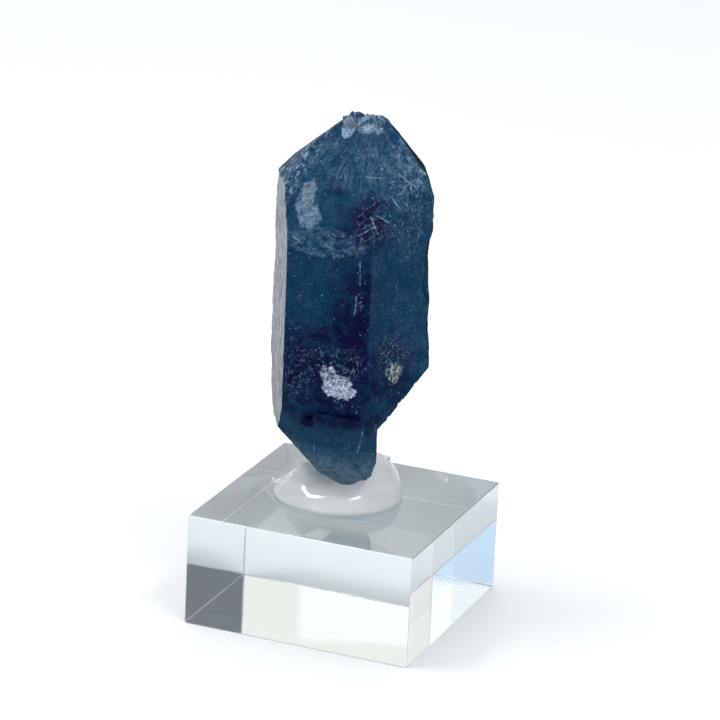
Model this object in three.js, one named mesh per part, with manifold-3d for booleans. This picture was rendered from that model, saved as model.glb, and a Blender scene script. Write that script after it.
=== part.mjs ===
// Indigolite quartz: a dark blue hexagonal quartz crystal, pointed at both ends, that stands in a dab of clear glue
// on a square block of clear acrylic.
// Millimetres, +Z up. The origin is the middle of the block's underside. The crystal's broad front face looks along -Y.
import * as THREE from "three";
import { mergeVertices } from "three/addons/utils/BufferGeometryUtils.js";
import Module from "manifold-3d";

// Driving dimensions
const BLOCK_SIDE = 30;
const BLOCK_HEIGHT = 14.4;
const BLOCK_CHAMFER = 0.25;

const PRISM_REACH = 9.44; // from the crystal's long axis to its front prism face
const RIGHT_REACH = 8.45; // to the back right prism face, which meets the front in a bruised edge
const BACK_REACH = 9.3;
const LEFT_REACH = 11.15;
const POINT_TILT = 38.2; // how far a quartz point's faces look up from the horizontal, in degrees

const GLUE_RADIUS = 8.1;
const GLUE_CENTRE = [-1.4, 1.3];
const GLUE_RISE = 5; // on the right. The left side is lower and slopes more
const GLUE_LEFT_RISE = 0.7; // the left side's height, as a part of the right side's
const GLUE_LEFT_SLOPE = 1.1; // how far the left flank is drawn in
const CONTACT_GAP = 0.3; // between the crystal's foot and the glue, and between the glue and the block

const CUTTER = 120; // side of the block that cuts one flat face

// Faces of the crystal. Azimuth 0 looks along -Y and 90 along +X. Tilt is how far the face looks up, or down if it is
// negative. Through is a point on the face.
const PRISM_MIDDLE = 42; // height at which the prism faces have their reach
const onAxis = (height) => [0, 0, height];
const outFrom = (azimuth, reach, height = PRISM_MIDDLE) => {
  const angle = THREE.MathUtils.degToRad(azimuth);
  return [Math.sin(angle) * reach, -Math.cos(angle) * reach, height];
};

const PRISM_FACES = [
  { azimuth: 0, tilt: 0, through: outFrom(0, PRISM_REACH) },
  { azimuth: 60, tilt: 0.4, through: outFrom(60, PRISM_REACH + 0.2) },
  { azimuth: -60, tilt: -0.3, through: outFrom(-60, PRISM_REACH) },
  { azimuth: 120, tilt: 1.2, through: outFrom(120, RIGHT_REACH) },
  { azimuth: 180, tilt: 0.5, through: outFrom(180, BACK_REACH) },
  { azimuth: -120, tilt: 0.6, through: outFrom(-120, LEFT_REACH) },
];

const TOP_FACES = [
  { azimuth: 0, tilt: POINT_TILT, through: onAxis(62.4) },
  { azimuth: 120, tilt: POINT_TILT, through: onAxis(67.8) },
  { azimuth: -120, tilt: POINT_TILT, through: onAxis(68.7) },
  { azimuth: -60, tilt: POINT_TILT, through: onAxis(67.8) },
  { azimuth: 60, tilt: POINT_TILT, through: onAxis(70.2) },
  { azimuth: 180, tilt: POINT_TILT, through: onAxis(66.5) },
];

// Steep narrow faces between the point and the prism at the back and on the right, and two flat breaks down the upper
// left edge
const BAND_FACES = [
  { azimuth: 188, tilt: 22, through: [1.0, 8.7, 54.8] },
  { azimuth: 116, tilt: 20, through: [8.55, 1.0, 57.3] },
  { azimuth: -84, tilt: 50, through: [-5.0, 1.0, 61.65] },
  { azimuth: -84, tilt: 41, through: [-9.7, 1.0, 57.7] },
];

const BOTTOM_FACES = [
  { azimuth: 0, tilt: -POINT_TILT, through: onAxis(16.4) },
  { azimuth: 120, tilt: -43.3, through: onAxis(24.9) },
  { azimuth: -60, tilt: -POINT_TILT, through: onAxis(13.0) },
  { azimuth: -120, tilt: -POINT_TILT, through: onAxis(15.6) },
  { azimuth: 180, tilt: -POINT_TILT, through: onAxis(17.8) },
  { azimuth: 60, tilt: -46, through: [6.9, -7.6, 27.2] },
];

// The root: a narrower crystal that runs on down through the lower point, along the same axis
const ROOT_FACES = [
  { azimuth: 0, tilt: -16, through: [0, -9.2, 28.3] },
  { azimuth: 58, tilt: -19, through: [5.75, -9.3, 29.0] },
  { azimuth: -74, tilt: -4, through: [-1.4, -8.9, 27.0] },
  { azimuth: 112, tilt: 1, through: [4.25, -1.3, 24.0] },
  { azimuth: 180, tilt: -9, through: [0, 4.4, 26.0] },
  { azimuth: -128, tilt: -6, through: [-4.4, 2.4, 26.0] },
];
const ROOT_TIP_FACES = [
  { azimuth: 8, tilt: -44, through: [1.0, -6.2, 20.05] },
  { azimuth: 112, tilt: -14, through: [4.6, -3.0, 20.4] },
  { azimuth: 112, tilt: -55, through: [2.8, -3.4, 18.6] },
  { azimuth: -20, tilt: -57, through: [1.0, -6.7, 19.4] },
  { azimuth: -84, tilt: -42, through: [-0.6, -6.0, 18.9] },
  { azimuth: -68, tilt: -70, through: [-1.1, -3.0, 18.0] },
  { azimuth: 190, tilt: -46, through: [0, 2.6, 18.6] },
];
// A second narrow crystal, grown together with the root's left side and a little behind its front
const HEEL_FACES = [
  { azimuth: 0, tilt: -16, through: [0, -8.75, 28.3] },
  { azimuth: -80, tilt: -4, through: [-3.5, -6.6, 21.0] },
  { azimuth: -60, tilt: -70, through: [-3.2, -6.6, 20.75] },
  { azimuth: -84, tilt: -40, through: [-2.2, -6.6, 20.65] },
  { azimuth: 90, tilt: 0, through: [1.0, -4.0, 24.0] },
  { azimuth: 180, tilt: -20, through: [-1.0, 1.0, 24.0] },
];
const ROOT_BOTTOM = 17.2;
const ROOT_TOP = 28.9; // just inside the body

// Breaks along the edges. Corner is the edge's place in plan, azimuth and tilt the way the bite opens, then the height
// of its middle, how deep it bites and how long it is
const RIGHT_EDGE = { corner: [10.45, -1.35], azimuth: 111.6, tilt: 0 };
const LEFT_EDGE = { corner: [-11.6, 1.55], azimuth: -90, tilt: 0 };
const BACK_LEFT_EDGE = { corner: [-7.2, 9.3], azimuth: -150, tilt: 0 };
const BACK_RIGHT_EDGE = { corner: [4.3, 9.3], azimuth: 150, tilt: 0 };
const EDGE_BREAKS = [
  // the wide shallow scoop that takes the edge off between the front point face and the front prism face
  { corner: [-0.9, -9.44], azimuth: -1, tilt: 18.5, height: 50.4, bite: 0.66, span: 14.6 },
  { ...RIGHT_EDGE, height: 59.6, bite: 0.85, span: 6.0 },
  { ...RIGHT_EDGE, height: 55.8, bite: 0.22, span: 2.6 },
  { ...RIGHT_EDGE, height: 47.6, bite: 1.0, span: 8.6 },
  { ...RIGHT_EDGE, height: 45.2, bite: 1.2, span: 5.6 },
  { ...RIGHT_EDGE, height: 40.4, bite: 0.3, span: 6.0 },
  { corner: [9.7, -3.5], azimuth: 105, tilt: -30, height: 31.0, bite: 0.45, span: 2.6 },
  { ...LEFT_EDGE, height: 56.2, bite: 0.5, span: 5.4 },
  { ...LEFT_EDGE, height: 44.2, bite: 0.2, span: 3.0 },
  { ...LEFT_EDGE, height: 29.0, bite: 0.5, span: 4.4 },
  { ...BACK_LEFT_EDGE, height: 46.0, bite: 0.7, span: 7.0 },
  { ...BACK_LEFT_EDGE, height: 35.0, bite: 0.35, span: 3.6 },
  { ...BACK_RIGHT_EDGE, height: 52.0, bite: 0.5, span: 5.0 },
  { ...BACK_RIGHT_EDGE, height: 38.5, bite: 0.8, span: 6.4 },
];

// Splinters struck off with flat sides: size, middle, and turns about X, Y and Z in degrees
const SPLINTERS = [
  // the broken apex
  { size: [3.6, 2.4, 2.0], at: [1.5, 0.35, 65.0], turn: [24, 9, -12] },
  { size: [2.2, 3.0, 1.6], at: [3.35, 1.6, 64.45], turn: [6, 44, 14] },
  { size: [1.4, 4.0, 1.2], at: [-0.9, 2.2, 64.9], turn: [-6, 8, -4] },
  { size: [2.0, 3.0, 1.4], at: [-3.2, -0.6, 63.2], turn: [52, -18, 20] },
  { size: [6.0, 2.4, 2.0], at: [0.4, 3.9, 64.1], turn: [-24, 4, 6] },
  { size: [1.0, 2.4, 1.0], at: [-0.55, 0.6, 64.55], turn: [10, 30, 4] },
  // the step where the front prism face stops above the root
  { size: [5.6, 1.3, 0.8], at: [2.3, -9.85, 28.7], turn: [34, 0, 3] },
  { size: [1.2, 1.3, 1.3], at: [-2.0, -9.2, 27.6], turn: [40, 30, 10] },
];

// A stub of the broken apex that still stands on its left
const APEX_STUB = { size: [1.5, 1.7, 2.0], at: [-2.05, 0.9, 63.05], turn: [12, -30, 18] };

const COLOURS = {
  quartz: { color: 0x1b3a56, roughness: 0.3, metalness: 0 },
  glue: { color: 0xdfe4ea, roughness: 0.12, metalness: 0 },
  acrylic: { color: 0xe8eef0, roughness: 0.03, metalness: 0 },
};

const wasm = await Module();
wasm.setup();

// A closed three.js geometry as a solid for joining and cutting
function solidOf(geometry) {
  const bare = geometry.clone();
  bare.deleteAttribute("normal");
  bare.deleteAttribute("uv");
  const merged = mergeVertices(bare, 1e-4);
  return new wasm.Manifold(
    new wasm.Mesh({
      numProp: 3,
      vertProperties: new Float32Array(merged.attributes.position.array),
      triVerts: new Uint32Array(merged.index.array),
    }),
  );
}

// A solid's vertices and triangles as a geometry that a mesh can show
function geometryOf(solid) {
  const mesh = solid.getMesh();
  const geometry = new THREE.BufferGeometry();
  geometry.setAttribute("position", new THREE.BufferAttribute(new Float32Array(mesh.vertProperties), 3));
  geometry.setIndex(new THREE.BufferAttribute(new Uint32Array(mesh.triVerts), 1));
  const flat = geometry.toNonIndexed();
  flat.computeVertexNormals();
  return flat;
}

// The way that a face looks out, as a unit vector
function outward({ azimuth, tilt }) {
  const turn = THREE.MathUtils.degToRad(azimuth);
  const lift = THREE.MathUtils.degToRad(tilt);
  return new THREE.Vector3(
    Math.sin(turn) * Math.cos(lift),
    -Math.cos(turn) * Math.cos(lift),
    Math.sin(lift),
  );
}

// A large block whose one side lies on the face, so that taking it away leaves the face flat
function cutterFor(face) {
  const normal = outward(face);
  const middle = new THREE.Vector3(...face.through).addScaledVector(normal, CUTTER / 2);
  // The block's own side stays centred on the crystal, whichever point of the face was given
  const centre = new THREE.Vector3(0, 0, 40);
  const along = centre.clone().sub(middle);
  along.addScaledVector(normal, -along.dot(normal));
  middle.add(along);
  const geometry = new THREE.BoxGeometry(CUTTER, CUTTER, CUTTER);
  geometry.applyQuaternion(new THREE.Quaternion().setFromUnitVectors(new THREE.Vector3(0, 0, 1), normal));
  geometry.translate(middle.x, middle.y, middle.z);
  return solidOf(geometry);
}

// Cuts a solid flat on every face of a list
function cutFlat(solid, faces) {
  return faces.reduce((left, face) => left.subtract(cutterFor(face)), solid);
}

// A shell-shaped break: the ball whose cap is as long and as deep as the bite in the edge
function biteBall({ corner, azimuth, tilt, height, bite, span }) {
  const radius = (span * span / 4 + bite * bite) / (2 * bite);
  const centre = outward({ azimuth, tilt }).multiplyScalar(radius - bite);
  const geometry = new THREE.IcosahedronGeometry(radius, radius > 15 ? 14 : 5);
  geometry.translate(corner[0] + centre.x, corner[1] + centre.y, height + centre.z);
  return solidOf(geometry);
}

function turnedBlock({ size, at, turn }) {
  const geometry = new THREE.BoxGeometry(...size);
  const angles = turn.map(THREE.MathUtils.degToRad);
  geometry.applyQuaternion(new THREE.Quaternion().setFromEuler(new THREE.Euler(...angles)));
  geometry.translate(...at);
  return solidOf(geometry);
}

// The main crystal, with its bruised edge and broken apex
function crystalBody() {
  const billet = new THREE.BoxGeometry(40, 40, 60);
  billet.translate(0, 0, 40);
  const faces = [...PRISM_FACES, ...TOP_FACES, ...BAND_FACES, ...BOTTOM_FACES];
  return cutFlat(solidOf(billet), faces);
}

// The narrower crystals below, the longer of which ends in the glue
function crystalRoot() {
  const height = ROOT_TOP - ROOT_BOTTOM;
  const geometry = new THREE.BoxGeometry(26, 26, height);
  geometry.translate(0, 0, ROOT_BOTTOM + height / 2);
  const billet = solidOf(geometry);
  return cutFlat(billet, [...ROOT_FACES, ...ROOT_TIP_FACES]).add(cutFlat(billet, HEEL_FACES));
}

function wholeCrystal() {
  let crystal = crystalBody().add(crystalRoot());
  for (const breakage of EDGE_BREAKS) crystal = crystal.subtract(biteBall(breakage));
  for (const splinter of SPLINTERS) crystal = crystal.subtract(turnedBlock(splinter));
  return crystal.add(turnedBlock(APEX_STUB));
}

// The same faces moved out by the contact gap, to leave room for the crystal's foot in the glue
function crystalRoom() {
  const grow = (face) => ({
    ...face,
    through: outward(face)
      .multiplyScalar(CONTACT_GAP)
      .add(new THREE.Vector3(...face.through))
      .toArray(),
  });
  const body = new THREE.BoxGeometry(40, 40, 60);
  body.translate(0, 0, 40);
  const height = ROOT_TOP - ROOT_BOTTOM + 2 * CONTACT_GAP;
  const geometry = new THREE.BoxGeometry(26, 26, height);
  geometry.translate(0, 0, (ROOT_TOP + ROOT_BOTTOM) / 2);
  const root = solidOf(geometry);
  const rooms = [
    cutFlat(solidOf(body), [...PRISM_FACES, ...BOTTOM_FACES].map(grow)),
    cutFlat(root, [...ROOT_FACES, ...ROOT_TIP_FACES].map(grow)),
    cutFlat(root, HEEL_FACES.map(grow)),
  ];
  return rooms.reduce((whole, room) => whole.add(room));
}

// The glue: a dab that spread on the block and rose round the crystal's foot. It is a turned profile, then drawn in and
// lowered towards the left
function glueDab() {
  const profile = [
    [0, 0],
    [GLUE_RADIUS - 0.15, 0],
    [GLUE_RADIUS, 0.2],
    [GLUE_RADIUS, 1.0],
    [GLUE_RADIUS - 0.08, 1.8],
    [GLUE_RADIUS - 0.3, 2.6],
    [GLUE_RADIUS - 0.75, 3.4],
    [GLUE_RADIUS - 1.35, 4.05],
    [GLUE_RADIUS - 2.1, 4.5],
    [GLUE_RADIUS - 3.0, 4.8],
    [GLUE_RADIUS - 4.2, GLUE_RISE],
    [0, GLUE_RISE],
  ].map(([r, z]) => new THREE.Vector2(r, z));
  const geometry = new THREE.LatheGeometry(profile, 56);
  geometry.rotateX(Math.PI / 2);
  const points = geometry.attributes.position;
  for (let i = 0; i < points.count; i += 1) {
    const x = points.getX(i);
    const y = points.getY(i);
    const z = points.getZ(i);
    const radius = Math.hypot(x, y);
    const angle = Math.atan2(y, x);
    const leftness = ((1 - Math.cos(angle)) / 2) ** 2;
    const drawnIn = GLUE_LEFT_SLOPE * leftness * Math.min(1, z / 1.4) * Math.min(1, radius / 4);
    const spread = 1 - 0.03 * Math.cos(angle) + 0.012 * Math.cos(3 * angle + 0.7);
    const reach = radius > 0 ? (radius * spread - drawnIn) / radius : 1;
    points.setXYZ(i, x * reach, y * reach, z * (1 - (1 - GLUE_LEFT_RISE) * leftness));
  }
  geometry.translate(GLUE_CENTRE[0], GLUE_CENTRE[1], BLOCK_HEIGHT + CONTACT_GAP);
  return solidOf(geometry).subtract(crystalRoom());
}

// The acrylic block: a square with its edges just broken
function acrylicBlock() {
  const half = BLOCK_SIDE / 2 - BLOCK_CHAMFER;
  const square = new THREE.Shape();
  square.moveTo(-half, -half);
  square.lineTo(half, -half);
  square.lineTo(half, half);
  square.lineTo(-half, half);
  square.closePath();
  const geometry = new THREE.ExtrudeGeometry(square, {
    depth: BLOCK_HEIGHT - 2 * BLOCK_CHAMFER,
    bevelEnabled: true,
    bevelThickness: BLOCK_CHAMFER,
    bevelSize: BLOCK_CHAMFER,
    bevelSegments: 1,
  });
  geometry.translate(0, 0, BLOCK_CHAMFER);
  return geometry;
}

function named(name, geometry, finish) {
  const mesh = new THREE.Mesh(geometry, new THREE.MeshStandardMaterial(finish));
  mesh.name = name;
  return mesh;
}

const specimen = new THREE.Group();
specimen.add(named("quartz_crystal", geometryOf(wholeCrystal()), COLOURS.quartz));
specimen.add(named("glue_dab", geometryOf(glueDab()), COLOURS.glue));
specimen.add(named("acrylic_block", acrylicBlock(), COLOURS.acrylic));

export default specimen;
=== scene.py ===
import sys
import logging
import math
import random
from dataclasses import dataclass, field
from enum import Enum
from functools import reduce
from itertools import product
from typing import Union

import bmesh
import bpy
import numpy as np
from mathutils import Matrix, Vector, noise
from mathutils.geometry import delaunay_2d_cdt


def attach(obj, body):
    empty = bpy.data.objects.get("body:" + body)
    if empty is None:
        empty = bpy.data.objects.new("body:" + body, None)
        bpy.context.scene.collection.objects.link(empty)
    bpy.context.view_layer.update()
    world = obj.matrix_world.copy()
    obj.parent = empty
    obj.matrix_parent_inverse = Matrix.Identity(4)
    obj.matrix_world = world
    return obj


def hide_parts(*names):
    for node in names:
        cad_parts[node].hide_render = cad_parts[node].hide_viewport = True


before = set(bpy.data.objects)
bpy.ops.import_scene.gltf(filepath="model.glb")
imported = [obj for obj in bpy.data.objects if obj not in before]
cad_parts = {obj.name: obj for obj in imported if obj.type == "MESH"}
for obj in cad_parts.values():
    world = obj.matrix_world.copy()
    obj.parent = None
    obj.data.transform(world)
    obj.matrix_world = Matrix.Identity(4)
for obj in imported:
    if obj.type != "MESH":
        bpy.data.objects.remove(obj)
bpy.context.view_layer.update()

MM = 0.001
SEED = 6726
log = logging.getLogger("specimen")

Colour = tuple[float, float, float]
Place = tuple[float, float, float]
Array = np.ndarray
Egg = tuple[Place, Place, float, float]
Line = tuple[Place, Place]
Profile = tuple[tuple[float, float], ...]


def facing(azimuth: float, tilt: float) -> Array:
    """Gives the way that a crystal face looks.

    Args:
        azimuth: Degrees round from the front, positive to the right.
        tilt: Degrees up from the horizontal.

    Returns:
        A unit vector.
    """
    turn, lift = math.radians(azimuth), math.radians(tilt)
    return np.array([math.sin(turn) * math.cos(lift), -math.cos(turn) * math.cos(lift), math.sin(lift)])


class Channel:
    """One output socket of a node, with the operators that a shader's sums use."""

    def __init__(self, recipe: "Recipe", socket: bpy.types.NodeSocket) -> None:
        """Keeps the socket and the recipe that it belongs to.

        Args:
            recipe: The material that the node is in.
            socket: The output socket.
        """
        self.recipe = recipe
        self.socket = socket

    @property
    def is_vector(self) -> bool:
        """Whether the socket carries a vector or a colour."""
        return self.socket.type in {"VECTOR", "RGBA"}

    def _sum(self, operation: str, other: "Value", flipped: bool = False) -> "Channel":
        """Adds the node for one operator.

        Args:
            operation: The name of the Math or Vector Math operation.
            other: The other operand.
            flipped: Whether the other operand comes first.

        Returns:
            The result.
        """
        pair = (other, self) if flipped else (self, other)
        vector = any(isinstance(item, Channel) and item.is_vector for item in pair)
        kind = "ShaderNodeVectorMath" if vector else "ShaderNodeMath"
        if vector:
            pair = tuple((item,) * 3 if isinstance(item, (int, float)) else item for item in pair)
        return self.recipe.node(kind, {"operation": operation}, {0: pair[0], 1: pair[1]})

    def __add__(self, other: "Value") -> "Channel":
        """Sum."""
        return self._sum("ADD", other)

    def __radd__(self, other: "Value") -> "Channel":
        """Sum, other first."""
        return self._sum("ADD", other, True)

    def __sub__(self, other: "Value") -> "Channel":
        """Difference."""
        return self._sum("SUBTRACT", other)

    def __rsub__(self, other: "Value") -> "Channel":
        """Difference, other first."""
        return self._sum("SUBTRACT", other, True)

    def __mul__(self, other: "Value") -> "Channel":
        """Product."""
        return self._sum("MULTIPLY", other)

    def __rmul__(self, other: "Value") -> "Channel":
        """Product, other first."""
        return self._sum("MULTIPLY", other, True)

    def most(self, other: "Value") -> "Channel":
        """The larger of the two."""
        return self._sum("MAXIMUM", other)

    def clamped(self) -> "Channel":
        """The value kept between 0 and 1."""
        return self.recipe.node("ShaderNodeClamp", {}, {0: self})

    def step(self, low: float, high: float) -> "Channel":
        """Runs smoothly from 0 to 1.

        Args:
            low: The value that gives 0.
            high: The value that gives 1. It may be below low, and the result then falls.

        Returns:
            The smooth step.
        """
        flip = low > high
        start, end = (high, low) if flip else (low, high)
        settings = {"interpolation_type": "SMOOTHSTEP"}
        values = {0: self, 1: start, 2: end, 3: 1.0 if flip else 0.0, 4: 0.0 if flip else 1.0}
        return self.recipe.node("ShaderNodeMapRange", settings, values)


Value = Union[Channel, float, int, Colour]


def strongest(*channels: Channel) -> Channel:
    """The largest of several channels."""
    return reduce(Channel.most, channels)


class Recipe:
    """A shader that is put together node by node."""

    def __init__(self, owner: bpy.types.Material | bpy.types.World) -> None:
        """Empties the shader.

        Args:
            owner: The material or the world that it belongs to.
        """
        owner.use_nodes = True
        self.owner = owner
        self.tree = owner.node_tree
        self.tree.nodes.clear()

    def node(
        self,
        kind: str,
        settings: dict[str, object] | None = None,
        values: dict[int | str, Value] | None = None,
        output: int | str = 0,
    ) -> Channel:
        """Adds one node.

        Args:
            kind: The node's type.
            settings: Its properties, which are set first.
            values: What goes into its sockets, by index or name: a number, a colour or a channel.
            output: The output that is wanted.

        Returns:
            That output.
        """
        made = self.tree.nodes.new(kind)
        for key, setting in (settings or {}).items():
            setattr(made, key, setting)
        for key, value in (values or {}).items():
            socket = made.inputs[key]
            if isinstance(value, Channel):
                self.tree.links.new(value.socket, socket)
            elif isinstance(value, tuple) and socket.type == "RGBA":
                socket.default_value = (*value, 1.0)
            else:
                socket.default_value = value
        return Channel(self, made.outputs[output])

    def place(self) -> Channel:
        """The point on the piece, in millimetres."""
        return self.node("ShaderNodeTexCoord", output="Object") * (1 / MM)

    def attribute(self, name: str) -> Channel:
        """A number that the mesh carries at each face or point."""
        return self.node("ShaderNodeAttribute", {"attribute_name": name}, output="Fac")

    def parts(self, vector: Channel) -> tuple[Channel, Channel, Channel]:
        """A vector's three numbers."""
        split = self.node("ShaderNodeSeparateXYZ", {}, {0: vector})
        return tuple(Channel(self, output) for output in split.socket.node.outputs)

    def dot(self, first: Value, second: Value) -> Channel:
        """The dot product of two vectors."""
        return self.node("ShaderNodeVectorMath", {"operation": "DOT_PRODUCT"}, {0: first, 1: second}, "Value")

    def apart(self, value: Channel) -> Channel:
        """How far a number is from 0."""
        return self.node("ShaderNodeMath", {"operation": "ABSOLUTE"}, {0: value})

    def mottle(self, point: Value, scale: float, detail: float = 3.0, roughness: float = 0.55) -> Channel:
        """Soft noise.

        Args:
            point: Where, in millimetres.
            scale: Waves to a millimetre.
            detail: How many finer layers it has.
            roughness: How strong the finer layers are.

        Returns:
            A value around 0.5.
        """
        values = {"Vector": point, "Scale": scale, "Detail": detail, "Roughness": roughness}
        return self.node("ShaderNodeTexNoise", {}, values)

    def wander(self, point: Channel, scale: float, reach: float) -> Channel:
        """The point moved about by noise.

        Args:
            point: Where, in millimetres.
            scale: Waves to a millimetre.
            reach: How far it moves, in millimetres.

        Returns:
            The moved point.
        """
        values = {"Vector": point, "Scale": scale, "Detail": 2.0}
        drift = self.node("ShaderNodeTexNoise", {}, values, "Color")
        return point + (drift - (0.5, 0.5, 0.5)) * (2 * reach)

    def cells(self, point: Value, scale: float, feature: str = "F1", output: str = "Distance") -> Channel:
        """Cellular pattern.

        Args:
            point: Where.
            scale: Cells to a unit of that space.
            feature: Which of the pattern's distances.
            output: Distance or Color.

        Returns:
            That output.
        """
        values = {"Vector": point, "Scale": scale}
        return self.node("ShaderNodeTexVoronoi", {"feature": feature}, values, output)

    def lot(self, point: Value, scale: float) -> Channel:
        """A number from 0 to 1 that chance gives to each cell of that pattern."""
        return self.parts(self.cells(point, scale, "F1", "Color"))[0]

    def spots(self, point: Channel, *eggs: Egg) -> Channel:
        """A mask that is made of soft eggs.

        Args:
            point: Where, in millimetres.
            eggs: Each one's middle, half sizes, the part of it that its soft border takes, and strength.

        Returns:
            The strength inside and 0 outside.
        """
        masks = []
        for centre, radii, soft, strength in eggs:
            scaled = (point - centre) * tuple(1 / radius for radius in radii)
            length = self.node("ShaderNodeVectorMath", {"operation": "LENGTH"}, {0: scaled}, "Value")
            mask = length.step(1 + soft / 2, 1 - soft / 2)
            masks.append(mask if strength == 1.0 else mask * strength)
        return strongest(*masks)

    def needles(
        self, point: Channel, along: Place, spacing: float, length: float, width: float, share: float
    ) -> Channel:
        """Short straight marks that lie one way.

        Args:
            point: Where, in millimetres.
            along: The way that they lie.
            spacing: How far apart they are across, in millimetres.
            length: How long each is, in millimetres.
            width: How thick each is, as a part of the spacing.
            share: The part of them that is kept.

        Returns:
            1 on a mark and 0 beside it.
        """
        turn = Vector(along).normalized().to_track_quat("Z", "Y").to_euler()
        values = {"Vector": point, "Rotation": tuple(turn), "Scale": (spacing, spacing, length)}
        laid = self.node("ShaderNodeMapping", {"vector_type": "TEXTURE"}, values)
        near = self.cells(laid, 1.0).step(width, width * 0.35)
        return near * self.lot(laid, 1.0).step(share + 0.02, share - 0.02)

    def stroke(self, point: Channel, start: Place, end: Place, width: float) -> Channel:
        """A straight scratch.

        Args:
            point: Where, in millimetres.
            start: One end of the scratch.
            end: The other end.
            width: How wide it is, in millimetres.

        Returns:
            1 on the scratch and 0 beside it.
        """
        run = Vector(end) - Vector(start)
        offset = point - start
        foot = (self.dot(offset, tuple(run)) * (1 / run.length_squared)).clamped()
        reach = self.node("ShaderNodeVectorMath", {"operation": "SCALE"}, {0: tuple(run), "Scale": foot})
        gap = self.node("ShaderNodeVectorMath", {"operation": "DISTANCE"}, {0: offset, 1: reach}, "Value")
        return gap.step(width * 0.75, width * 0.25)

    def veil(self, point: Channel, scale: float, width: float, detail: float = 3.0) -> Channel:
        """Thin winding lines.

        Args:
            point: Where, in millimetres.
            scale: Waves to a millimetre.
            width: How thick the lines are, in the noise's own measure.
            detail: How crooked they are.

        Returns:
            1 on a line and 0 beside it.
        """
        return self.apart(self.mottle(point, scale, detail) - 0.5).step(width, 0.0)

    def blend(self, amount: Value, first: Value, second: Value) -> Channel:
        """A colour between two.

        Args:
            amount: 0 or less for the first, and 1 or more for the second.
            first: One colour.
            second: The other.

        Returns:
            The blend.
        """
        settings = {"data_type": "RGBA", "clamp_factor": True}
        return self.node("ShaderNodeMix", settings, {0: amount, 6: first, 7: second}, 2)

    def bump(self, height: Channel, reach: float, strength: float) -> Channel:
        """A bumped normal.

        Args:
            height: The relief, from 0 to 1.
            reach: How high 1 stands, in millimetres.
            strength: How much of it shows.

        Returns:
            The normal.
        """
        values = {"Height": height, "Distance": reach * MM, "Strength": strength}
        return self.node("ShaderNodeBump", {}, values)

    def gloss(self, values: dict[int | str, Value]) -> Channel:
        """A Principled surface with those values."""
        return self.node("ShaderNodeBsdfPrincipled", {}, values)

    def finish(self, surface: Channel) -> bpy.types.Material | bpy.types.World:
        """Joins the surface to the output.

        Args:
            surface: The surface shader.

        Returns:
            The finished material or world.
        """
        kind = "World" if isinstance(self.owner, bpy.types.World) else "Material"
        made = self.tree.nodes.new(f"ShaderNodeOutput{kind}")
        self.tree.links.new(surface.socket, made.inputs["Surface"])
        return self.owner


class Slot(Enum):
    """The names of the three finishes."""

    QUARTZ = "quartz"
    GLUE = "glue"
    ACRYLIC = "acrylic"


@dataclass(frozen=True)
class Ground:
    """The places and noises that the layers of the crystal's colour share."""

    kit: Recipe
    at: Channel
    height: Channel
    loose: Channel
    ragged: Channel
    mid: Channel
    fine: Channel
    grain: Channel
    flank: Channel

    @classmethod
    def lay(cls, kit: Recipe) -> "Ground":
        """Makes them.

        Args:
            kit: The crystal's material.

        Returns:
            The shared places and noises.
        """
        at = kit.place()
        loose = kit.wander(at, 0.35, 1.4)
        left_side = kit.stroke(loose, (-5.6, -0.4, 61.9), (-8.2, -6.0, 54.8), 3.0) * 0.7
        right_side = kit.stroke(loose, (4.8, -0.4, 62.0), (8.8, -3.2, 58.0), 1.6) * 0.4
        return cls(
            kit=kit,
            at=at,
            height=kit.parts(at)[2],
            loose=loose,
            ragged=kit.wander(kit.wander(at, 1.1, 0.6), 2.6, 0.4),
            mid=kit.mottle(at, 0.8, 5.0, 0.65),
            fine=kit.mottle(at, 4.5, 4.0, 0.65),
            grain=kit.mottle(at, 3.2, 5.0, 0.7).step(0.42, 0.60),
            flank=strongest(kit.attribute("flank"), left_side, right_side),
        )


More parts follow.
